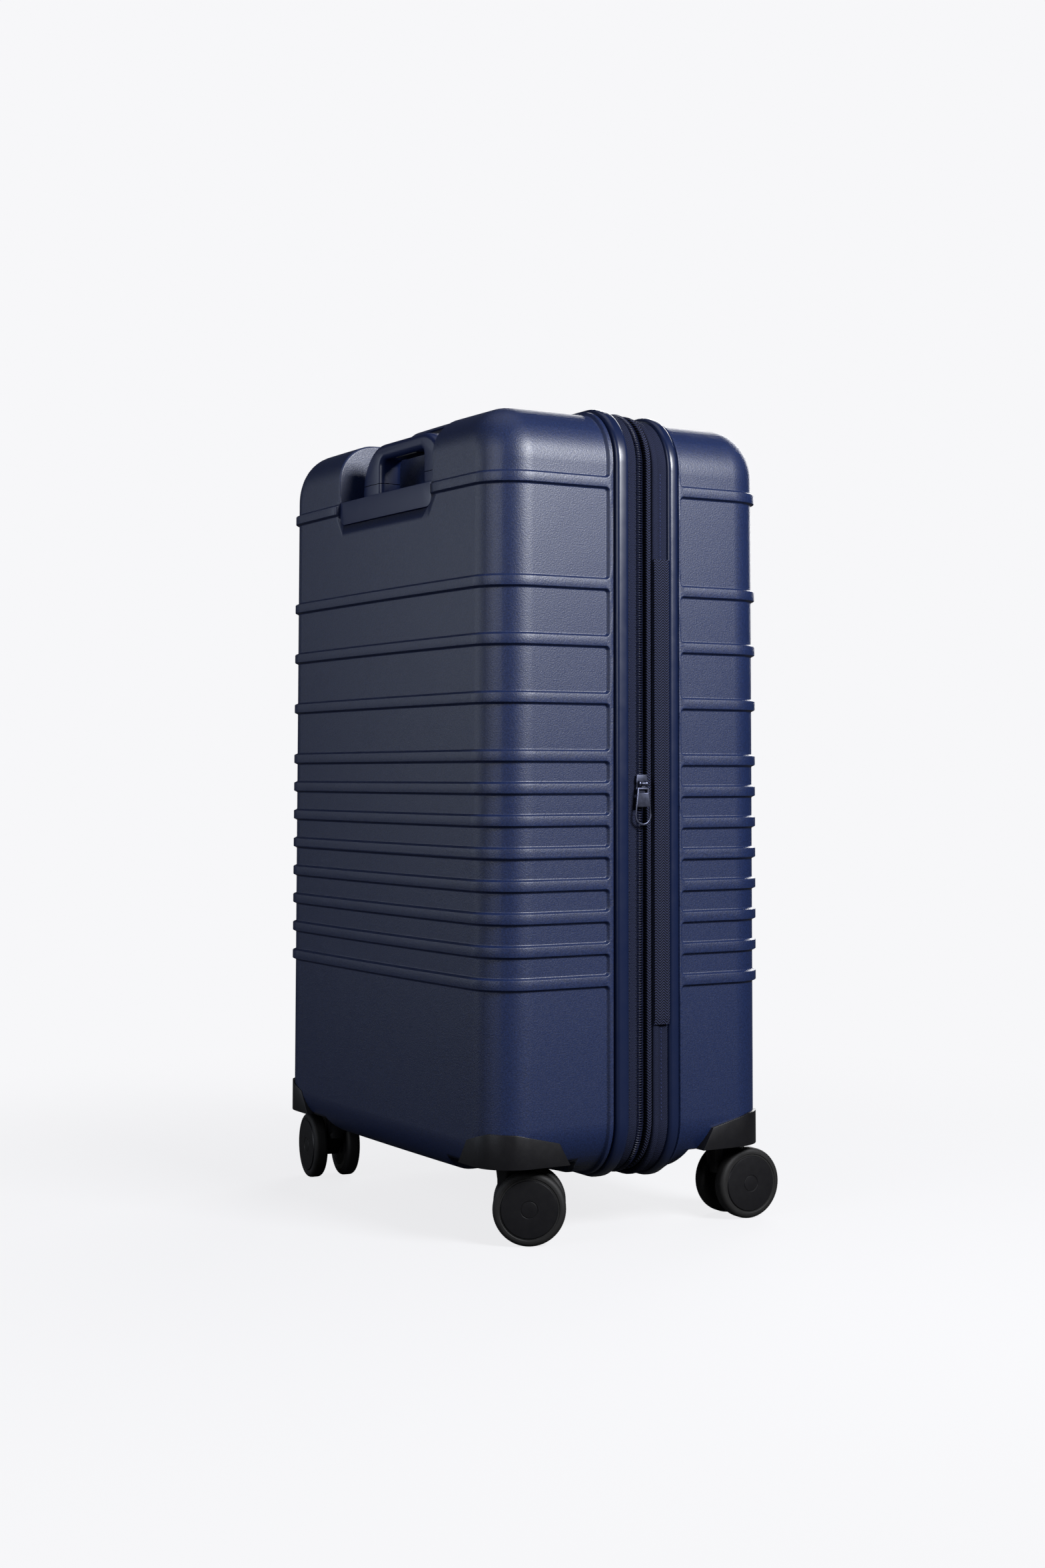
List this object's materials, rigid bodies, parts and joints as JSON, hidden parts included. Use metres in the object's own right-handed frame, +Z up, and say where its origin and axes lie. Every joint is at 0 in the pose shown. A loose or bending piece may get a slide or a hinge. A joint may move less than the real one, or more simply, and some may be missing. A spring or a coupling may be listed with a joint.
{
  "type": "hard shell suitcase on wheels",
  "caption": "Tall rounded hard-shell suitcase with horizontal ribs, expansion zip, recessed telescopic trolley handle, carry handles, side combination lock and swivelling twin-wheel casters.",
  "frame": {"origin": "on the floor, under the middle of the suitcase's bounding box", "axes": "+Z up, +Y out of the back face with the trolley handle, +X across the width towards the side with the lock"},
  "size_m": [0.4269, 0.2926, 0.692],
  "materials": {
    "shell": "pebbled satin polycarbonate",
    "trim": "smooth satin plastic",
    "zip_fabric": "twill tape and coil",
    "webbing": "woven webbing",
    "lining": "plain polyester lining",
    "handle_plastic": "smooth glossy plastic",
    "black_plastic": "fine matt plastic",
    "tyre": "matt rubber",
    "tube": "anodised",
    "steel": "zinc plated",
    "zip_metal": "satin lacquer"
  },
  "bodies": {
    "back_half": {"back_shell": "shell", "back_edge_trim": "trim", "back_lining": "lining", "expansion_zip": "zip_fabric", "packing_straps": "webbing", "handle_bezel": "handle_plastic", "handle_foot": "black_plastic", "handle_outer_tubes": "tube", "rear_caster_housings": "black_plastic", "rear_kingpins": "steel"},
    "handle_stage_one": {"handle_middle_tubes": "tube"},
    "handle_stage_two": {"handle_inner_tubes": "tube", "handle_grip": "handle_plastic"},
    "handle_button": {"handle_button": "handle_plastic"},
    "top_carry_handle": {"top_carry_handle": "handle_plastic"},
    "side_carry_handle": {"side_carry_handle": "handle_plastic"},
    "expansion_slider": {"expansion_zip_slider": "zip_metal"},
    "expansion_pull": {"expansion_zip_pull": "zip_metal"},
    "expander": {"expander_band": "zip_fabric", "expansion_gusset": "zip_fabric"},
    "front_half": {"front_shell": "shell", "front_edge_trim": "trim", "front_lining": "lining", "main_zip": "zip_fabric", "hinge_tape": "webbing", "lock_housing": "black_plastic", "front_caster_housings": "black_plastic", "front_kingpins": "steel"},
    "main_slider_upper": {"main_zip_slider_upper": "zip_metal"},
    "main_slider_lower": {"main_zip_slider_lower": "zip_metal"},
    "main_pull_upper": {"main_zip_pull_upper": "zip_metal"},
    "main_pull_lower": {"main_zip_pull_lower": "zip_metal"},
    "lock_button": {"lock_button": "black_plastic"},
    "lock_dial_1": {"lock_dial_1": "black_plastic"},
    "lock_dial_2": {"lock_dial_2": "black_plastic"},
    "lock_dial_3": {"lock_dial_3": "black_plastic"},
    "caster_rear_left": {"fork_rear_left": "black_plastic", "axle_rear_left": "steel"},
    "wheel_rear_left_a": {"hub_rear_left_a": "black_plastic", "tyre_rear_left_a": "tyre"},
    "wheel_rear_left_b": {"hub_rear_left_b": "black_plastic", "tyre_rear_left_b": "tyre"},
    "caster_rear_right": {"fork_rear_right": "black_plastic", "axle_rear_right": "steel"},
    "wheel_rear_right_a": {"hub_rear_right_a": "black_plastic", "tyre_rear_right_a": "tyre"},
    "wheel_rear_right_b": {"hub_rear_right_b": "black_plastic", "tyre_rear_right_b": "tyre"},
    "caster_front_left": {"fork_front_left": "black_plastic", "axle_front_left": "steel"},
    "wheel_front_left_a": {"hub_front_left_a": "black_plastic", "tyre_front_left_a": "tyre"},
    "wheel_front_left_b": {"hub_front_left_b": "black_plastic", "tyre_front_left_b": "tyre"},
    "caster_front_right": {"fork_front_right": "black_plastic", "axle_front_right": "steel"},
    "wheel_front_right_a": {"hub_front_right_a": "black_plastic", "tyre_front_right_a": "tyre"},
    "wheel_front_right_b": {"hub_front_right_b": "black_plastic", "tyre_front_right_b": "tyre"}
  },
  "joints": [
    {"name": "handle_lower_stage_slide", "type": "slide", "parent": "back_half", "child": "handle_stage_one", "axis": [0, 0, 1], "range_m": [0, 0.18]},
    {"name": "handle_upper_stage_slide", "type": "slide", "parent": "handle_stage_one", "child": "handle_stage_two", "axis": [0, 0, 1], "range_m": [0, 0.18]},
    {"name": "handle_button_press", "type": "slide", "parent": "handle_stage_two", "child": "handle_button", "axis": [0, 0, 1], "range_m": [0, 0.003], "stiffness_N_per_m": 500, "springref_m": -0.002},
    {"name": "top_handle_pull", "type": "slide", "parent": "back_half", "child": "top_carry_handle", "axis": [0, 0, 1], "range_m": [0, 0.014], "stiffness_N_per_m": 300, "springref_m": -0.004},
    {"name": "side_handle_pull", "type": "slide", "parent": "back_half", "child": "side_carry_handle", "axis": [1, 0, 0], "range_m": [0, 0.014], "stiffness_N_per_m": 300, "springref_m": -0.004},
    {"name": "expansion_slider_run", "type": "slide", "parent": "back_half", "child": "expansion_slider", "axis": [0, 0, 1], "range_m": [0, 0.25]},
    {"name": "expansion_pull_swing", "type": "hinge", "parent": "expansion_slider", "child": "expansion_pull", "pos_m": [-0.2114, 0.00575, 0.368], "axis": [0, 1, 0], "range_deg": [0, 175]},
    {"name": "expansion", "type": "slide", "parent": "back_half", "child": "expander", "axis": [0, -1, 0], "range_m": [0, 0.045], "deforming": ["expansion_gusset"]},
    {"name": "case_opening", "type": "hinge", "parent": "expander", "child": "front_half", "pos_m": [-0.214, -0.01325, 0.35], "axis": [0, 0, -1], "range_deg": [0, 180], "deforming": ["hinge_tape"]},
    {"name": "main_slider_upper_run", "type": "slide", "parent": "front_half", "child": "main_slider_upper", "axis": [0, 0, 1], "range_m": [0, 0.2]},
    {"name": "main_pull_upper_swing", "type": "hinge", "parent": "main_slider_upper", "child": "main_pull_upper", "pos_m": [0.2114, -0.01225, 0.418], "axis": [0, -1, 0], "range_deg": [0, 175]},
    {"name": "main_slider_lower_run", "type": "slide", "parent": "front_half", "child": "main_slider_lower", "axis": [0, 0, -1], "range_m": [0, 0.2]},
    {"name": "main_pull_lower_swing", "type": "hinge", "parent": "main_slider_lower", "child": "main_pull_lower", "pos_m": [0.2114, -0.01225, 0.31], "axis": [0, 1, 0], "range_deg": [0, 175]},
    {"name": "lock_button_press", "type": "slide", "parent": "front_half", "child": "lock_button", "axis": [-1, 0, 0], "range_m": [0, 0.002], "stiffness_N_per_m": 500, "springref_m": -0.001},
    {"name": "lock_dial_1_turn", "type": "hinge", "parent": "front_half", "child": "lock_dial_1", "pos_m": [0.2061, -0.04025, 0.357], "axis": [0, 0, 1], "continuous": true},
    {"name": "lock_dial_2_turn", "type": "hinge", "parent": "front_half", "child": "lock_dial_2", "pos_m": [0.2061, -0.04025, 0.364], "axis": [0, 0, 1], "continuous": true},
    {"name": "lock_dial_3_turn", "type": "hinge", "parent": "front_half", "child": "lock_dial_3", "pos_m": [0.2061, -0.04025, 0.371], "axis": [0, 0, 1], "continuous": true},
    {"name": "caster_rear_left_swivel", "type": "hinge", "parent": "back_half", "child": "caster_rear_left", "pos_m": [-0.163, 0.10575, 0.05], "axis": [0, 0, 1], "continuous": true},
    {"name": "wheel_rear_left_a_spin", "type": "hinge", "parent": "caster_rear_left", "child": "wheel_rear_left_a", "pos_m": [-0.17214, 0.09024, 0.0295], "axis": [0.8616, -0.5075, 0], "continuous": true},
    {"name": "wheel_rear_left_b_spin", "type": "hinge", "parent": "caster_rear_left", "child": "wheel_rear_left_b", "pos_m": [-0.17214, 0.09024, 0.0295], "axis": [0.8616, -0.5075, 0], "continuous": true},
    {"name": "caster_rear_right_swivel", "type": "hinge", "parent": "back_half", "child": "caster_rear_right", "pos_m": [0.163, 0.10575, 0.05], "axis": [0, 0, 1], "continuous": true},
    {"name": "wheel_rear_right_a_spin", "type": "hinge", "parent": "caster_rear_right", "child": "wheel_rear_right_a", "pos_m": [0.18082, 0.10321, 0.0295], "axis": [0.1409, 0.99, 0], "continuous": true},
    {"name": "wheel_rear_right_b_spin", "type": "hinge", "parent": "caster_rear_right", "child": "wheel_rear_right_b", "pos_m": [0.18082, 0.10321, 0.0295], "axis": [0.1409, 0.99, 0], "continuous": true},
    {"name": "caster_front_left_swivel", "type": "hinge", "parent": "front_half", "child": "caster_front_left", "pos_m": [-0.169, -0.09825, 0.05], "axis": [0, 0, 1], "continuous": true},
    {"name": "wheel_front_left_a_spin", "type": "hinge", "parent": "caster_front_left", "child": "wheel_front_left_a", "pos_m": [-0.16969, -0.11624, 0.0295], "axis": [0.9993, -0.0384, 0], "continuous": true},
    {"name": "wheel_front_left_b_spin", "type": "hinge", "parent": "caster_front_left", "child": "wheel_front_left_b", "pos_m": [-0.16969, -0.11624, 0.0295], "axis": [0.9993, -0.0384, 0], "continuous": true},
    {"name": "caster_front_right_swivel", "type": "hinge", "parent": "front_half", "child": "caster_front_right", "pos_m": [0.169, -0.09825, 0.05], "axis": [0, 0, 1], "continuous": true},
    {"name": "wheel_front_right_a_spin", "type": "hinge", "parent": "caster_front_right", "child": "wheel_front_right_a", "pos_m": [0.16969, -0.11624, 0.0295], "axis": [0.9993, 0.0384, 0], "continuous": true},
    {"name": "wheel_front_right_b_spin", "type": "hinge", "parent": "caster_front_right", "child": "wheel_front_right_b", "pos_m": [0.16969, -0.11624, 0.0295], "axis": [0.9993, 0.0384, 0], "continuous": true}
  ]
}
